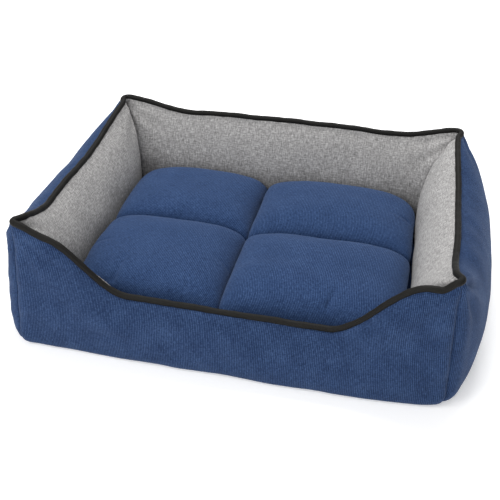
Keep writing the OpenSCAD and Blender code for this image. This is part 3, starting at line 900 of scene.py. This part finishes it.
nx, ny = 34, 27
top, PA, PB = cushion_grid(1, nx, ny, CROWN - 0.006, 0.005)
edge = np.zeros(PA.shape, bool)
edge[[0, -1], :] = edge[:, [0, -1]] = True
edge |= (PA == 1) | (PB == 1)
top = inflate(top, edge, pressure=4.0, frames=22, slack=0.03, cap=0.014)
top = puckers(refine(refine(top)))
cushion_top = finish(shell("cushion_top", top), BLUE_CUSHION, "cushion", "blue_weave",
                     "cushion_top_cover", "cushion_fill_front_left", "cushion_fill_front_right",
                     "cushion_fill_back_left", "cushion_fill_back_right")

finish(stitches("cushion_quilting_stitches", [top[4 * nx], top[:, 4 * ny]], np.array([0, 0, 1.0])),
       THREAD, "cushion", "blue_weave")

under, _, _ = cushion_grid(-1, 26, 20)
cushion_under = finish(shell("cushion_underside", refine(under), flip=True), BLUE_CUSHION, "cushion",
                       "blue_weave", "cushion_bottom_cover")

ZIP_LEN = 0.400
ZIP_START = CUSHION_X - ZIP_LEN / 2
ZIP_Z = (BORDER_TOP + BORDER_FOOT) / 2
ZIP_FACE = RIM_Y + BORDER_Y - 0.0005


def border_line():
    """The band's line in plan, from the zip's right end round by the front to its left end."""
    n, back = 110, 20
    hx, hy = BORDER_X, BORDER_Y
    t = spread(n, 0.5)[:-1]
    zx = (ZIP_LEN / 2 + 0.0005) / (1 - CORNER_DRAW)
    from_zip = np.stack([np.linspace(zx, hx, back)[:-1], np.full(back - 1, hy)], -1)
    to_zip = np.stack([np.linspace(-hx, -zx, back), np.full(back, hy)], -1)
    right_side = np.stack([np.full(n, hx), -t * hy], -1)
    front_side = np.stack([-t * hx, np.full(n, -hy)], -1)
    left_side = np.stack([np.full(n, -hx), t * hy], -1)
    q = np.concatenate([from_zip, right_side, front_side, left_side, to_zip])
    x, y = drawn_in(q[:, 0], q[:, 1])
    return np.stack([CUSHION_X + x, RIM_Y + y], -1)


line = border_line()
rows_z = np.linspace(0, 1, 9)
band = np.zeros((len(line), len(rows_z), 3))
run_d = np.concatenate([[0], np.cumsum(np.linalg.norm(np.diff(line, axis=0), axis=1))])
middle = np.array([CUSHION_X, RIM_Y])
away = (line - middle) / np.linalg.norm(line - middle, axis=1, keepdims=True)
for k, t in enumerate(rows_z):
    puff = (0.0016 + 0.0005 * noise(run_d / 0.02, 1.7 * t, 301)) * math.sin(math.pi * t)
    band[:, k, :2] = line + away * np.asarray(puff).reshape(-1, 1)
    band[:, k, 2] = mix(BORDER_FOOT + 0.0002, BORDER_TOP - 0.0002, t)
border = finish(shell("cushion_border_band", band), BLUE_CUSHION, "cushion", "blue_weave", "cushion_border")

# ---------------------------------------------------------------- the zip


def rounded_box(bm, lo, hi, bevel):
    """Adds a box from corner lo to corner hi with rounded edges."""
    made = bmesh.ops.create_cube(bm, size=1)["verts"]
    lo, hi = Vector(lo), Vector(hi)
    for v in made:
        v.co = Vector((mix(lo[i], hi[i], v.co[i] + 0.5) for i in range(3)))
    edges = list({e for v in made for e in v.link_edges})
    bmesh.ops.bevel(bm, geom=edges, offset=bevel, segments=3, profile=0.6, affect="EDGES")


def from_bmesh(name, bm):
    mesh = bpy.data.meshes.new(name)
    bm.to_mesh(mesh)
    bm.free()
    mesh.polygons.foreach_set("use_smooth", [True] * len(mesh.polygons))
    obj = bpy.data.objects.new(name, mesh)
    bpy.context.scene.collection.objects.link(obj)
    return obj


CHAIN, TAPE_H, COIL_R = 0.0018, 0.0052, 0.00072
for way, name in ((1, "upper"), (-1, "lower")):
    low = ZIP_Z + CHAIN if way > 0 else ZIP_Z - CHAIN - TAPE_H
    gx, gz = np.meshgrid(np.linspace(0, ZIP_LEN, 161), np.linspace(0, TAPE_H, 7), indexing="ij")
    gy = ZIP_FACE + 0.00012 * noise(gx / 0.012, gz / 0.004, 310 + way) - 0.0001
    tape = np.stack([ZIP_START + gx, gy, low + gz], -1)
    finish(shell("zip_tape_" + name + "_cloth", tape, 0.0008, flip=True), ZIP_TAPE, "cushion", "zip_tape",
           "zip_tape_" + name)
    turns = 210
    t = np.linspace(0, turns, turns * 8 + 1)
    q = 2 * math.pi * t
    path_c = np.stack([ZIP_START + 0.001 + (ZIP_LEN - 0.002) * t / turns,
                       ZIP_FACE + 0.00115 + COIL_R * np.sin(q),
                       ZIP_Z + way * CHAIN + COIL_R * np.cos(q)], -1)
    finish(tube("zip_coil_" + name + "_helix", path_c, 0.00026, 5, closed=False), COIL, "cushion", "zip_coil",
           "zip_coil_" + name)

seams = []
for way in (-1, 1):
    x = np.linspace(ZIP_START + 0.001, ZIP_START + ZIP_LEN - 0.001, 60)
    seams.append(np.stack([x, np.full(60, ZIP_FACE), np.full(60, ZIP_Z + way * 0.0058)], -1))
sewn = stitches("zip_tape_stitches", seams, np.array([0, 1.0, 0]), 0.0026, 0.0008, 0.00022)
finish(sewn, THREAD, "cushion", "zip_tape")

bm = bmesh.new()
for x in (0.0012, ZIP_LEN - 0.0032):
    rounded_box(bm, (ZIP_START + x, ZIP_FACE + 0.00225, ZIP_Z - 0.0032),
                (ZIP_START + x + 0.002, ZIP_FACE + 0.00315, ZIP_Z + 0.0032), 0.0003)
finish(from_bmesh("zip_stops", bm), STEEL, "cushion", "zip_stop", "zip_end_stops")

SLIDER_X = ZIP_START + 0.012
PIN_Y = ZIP_FACE + 0.0056
bm = bmesh.new()
for y in (ZIP_FACE + 0.0027, ZIP_FACE - 0.0028):
    rounded_box(bm, (SLIDER_X - 0.0055, y, ZIP_Z - 0.0038),
                (SLIDER_X + 0.0055, y + 0.0009, ZIP_Z + 0.0038), 0.00035)
rounded_box(bm, (SLIDER_X + 0.002, ZIP_FACE - 0.0023, ZIP_Z - 0.0004),
            (SLIDER_X + 0.005, ZIP_FACE + 0.003, ZIP_Z + 0.0004), 0.00012)
for way in (-1, 1):
    z = ZIP_Z + way * 0.0029
    rounded_box(bm, (SLIDER_X - 0.002, ZIP_FACE + 0.003, z - 0.0005),
                (SLIDER_X + 0.002, ZIP_FACE + 0.0068, z + 0.0005), 0.00022)
PIN_R = 0.00078
pin = bmesh.ops.create_cone(bm, cap_ends=True, segments=24, radius1=PIN_R, radius2=PIN_R, depth=0.006)
bmesh.ops.translate(bm, verts=pin["verts"], vec=(SLIDER_X, PIN_Y, ZIP_Z))
finish(from_bmesh("zip_slider_body", bm), ZIP_METAL, "zip_slider", "zip_metal", "zip_slider")


def puller_mesh():
    """A flat tab with a hole near its end, and the eye it swings by."""
    verts, faces = [], []
    n = 48
    q = np.linspace(0, 2 * math.pi, n, endpoint=False)
    cx, hx, hz, hole = 0.0095, 0.0045, 0.0030, 0.0016
    hole_x = 0.010

    def ring(kind, grow, y):
        if kind == "out":
            c, s_ = np.cos(q), np.sin(q)
            k = (np.abs(c) ** 5 + np.abs(s_) ** 5) ** (-1 / 5)
            px, pz = cx + (hx - grow) * c * k, (hz - grow) * s_ * k
        else:
            px, pz = hole_x + (hole + grow) * np.cos(q), (hole + grow) * np.sin(q)
        return [(SLIDER_X + a, PIN_Y + y, ZIP_Z + b) for a, b in zip(px, pz)]

    levels = [("in", 0, -0.0004), ("in", 0.0002, -0.0006), ("out", 0.0002, -0.0006), ("out", 0, -0.0004),
              ("out", 0, 0.0004), ("out", 0.0002, 0.0006), ("in", 0.0002, 0.0006), ("in", 0, 0.0004)]
    for lv in levels:
        verts += ring(*lv)
    m = len(levels)
    for i in range(m):
        for k in range(n):
            a, b = i * n + k, i * n + (k + 1) % n
            c, d = ((i + 1) % m) * n + (k + 1) % n, ((i + 1) % m) * n + k
            faces.append((a, b, c, d))
    obj = link("zip_puller_tab", verts, faces)
    bm = bmesh.new()
    bm.from_mesh(obj.data)
    rounded_box(bm, (SLIDER_X + 0.0011, PIN_Y - 0.0006, ZIP_Z - 0.0021),
                (SLIDER_X + 0.0058, PIN_Y + 0.0006, ZIP_Z + 0.0021), 0.0002)
    # the eye: a sleeve round the pin
    eye = []
    for r, z in ((0.00090, -0.0021), (0.0015, -0.0021), (0.0017, -0.0019),
                 (0.0017, 0.0019), (0.0015, 0.0021), (0.00090, 0.0021)):
        eye.append([bm.verts.new((SLIDER_X + r * math.cos(t), PIN_Y + r * math.sin(t), ZIP_Z + z))
                    for t in q[::2]])
    for i in range(len(eye)):
        a, b = eye[i], eye[(i + 1) % len(eye)]
        for k in range(len(a)):
            bm.faces.new((a[k], a[(k + 1) % len(a)], b[(k + 1) % len(a)], b[k]))
    bmesh.ops.recalc_face_normals(bm, faces=bm.faces)
    bm.to_mesh(obj.data)
    bm.free()
    obj.data.polygons.foreach_set("use_smooth", [True] * len(obj.data.polygons))
    return obj


finish(puller_mesh(), ZIP_METAL, "zip_puller", "zip_metal", "zip_puller")

# ---------------------------------------------------------------- floor, light, camera

# the camera fitted to the photograph: where it looks, how it's turned and how far off it stands
LOOK_AT = Vector((-0.0364, 0.1027 + RIM_Y, 0))
YAW, PITCH, ROLL, DISTANCE = 11.2, 31.88, 1.46, 1.6378
cam_data = bpy.data.cameras.new("camera")
cam = bpy.data.objects.new("camera", cam_data)
bpy.context.scene.collection.objects.link(cam)
yaw, pitch, roll = (math.radians(v) for v in (YAW, PITCH, ROLL))
back = Vector((math.sin(yaw) * math.cos(pitch), -math.cos(yaw) * math.cos(pitch), math.sin(pitch)))
right = (-back).cross(Vector((0, 0, 1))).normalized()
up = right.cross(-back)
r2 = math.cos(roll) * right + math.sin(roll) * up
u2 = -math.sin(roll) * right + math.cos(roll) * up
turned = Matrix((r2, u2, back)).transposed().to_4x4()
cam.matrix_world = Matrix.Translation(LOOK_AT + back * DISTANCE) @ turned
cam_data.sensor_width = 36
cam_data.lens = 63.8
cam_data.clip_start, cam_data.clip_end = 0.05, 50
bpy.context.scene.camera = cam

FAR = 24
corners = [(-FAR, -FAR, 0), (FAR, -FAR, 0), (FAR, FAR, 0), (-FAR, FAR, 0)]
ground = link("ground", corners, [(0, 1, 2, 3)], smooth_faces=False)
gm = Nodes("ground_paper")
cloudy = gm.noise(gm.scale(gm.point(), (3, 3, 3)), 1, 2)
gm.put(gm.bsdf, "Base Color", gm.ramp(cloudy, [(0, (0.93, 0.93, 0.93)), (1, (0.96, 0.96, 0.96))]))
gm.bsdf.inputs["Emission Color"].default_value = (1, 1, 1, 1)
gm.bsdf.inputs["Emission Strength"].default_value = 0.30
ground.data.materials.append(gm.done(0.95, specular=0.0))


def area_light(name, place_at, look_at, size, power):
    data = bpy.data.lights.new(name, "AREA")
    data.shape = "RECTANGLE"
    data.size, data.size_y = size
    data.energy = power
    obj = bpy.data.objects.new(name, data)
    bpy.context.scene.collection.objects.link(obj)
    obj.location = place_at
    obj.rotation_mode = "QUATERNION"
    obj.rotation_quaternion = (Vector(look_at) - Vector(place_at)).to_track_quat("-Z", "Y")


area_light("key", (-1.6, -1.6, 2.1), (0, 0, 0.08), (1.6, 1.6), 35)
area_light("fill", (-0.1, -2.5, 1.4), (0, 0.1, 0.12), (1.6, 1.4), 22)
area_light("back_top", (-0.1, 1.1, 2.8), (0, 0, 0), (1.6, 1.1), 66)

world = bpy.data.worlds.new("world")
bpy.context.scene.world = world
world.use_nodes = True
world.node_tree.nodes["Background"].inputs["Color"].default_value = (1, 1, 1, 1)
world.node_tree.nodes["Background"].inputs["Strength"].default_value = 0.45
bpy.context.scene.view_settings.view_transform = "Standard"
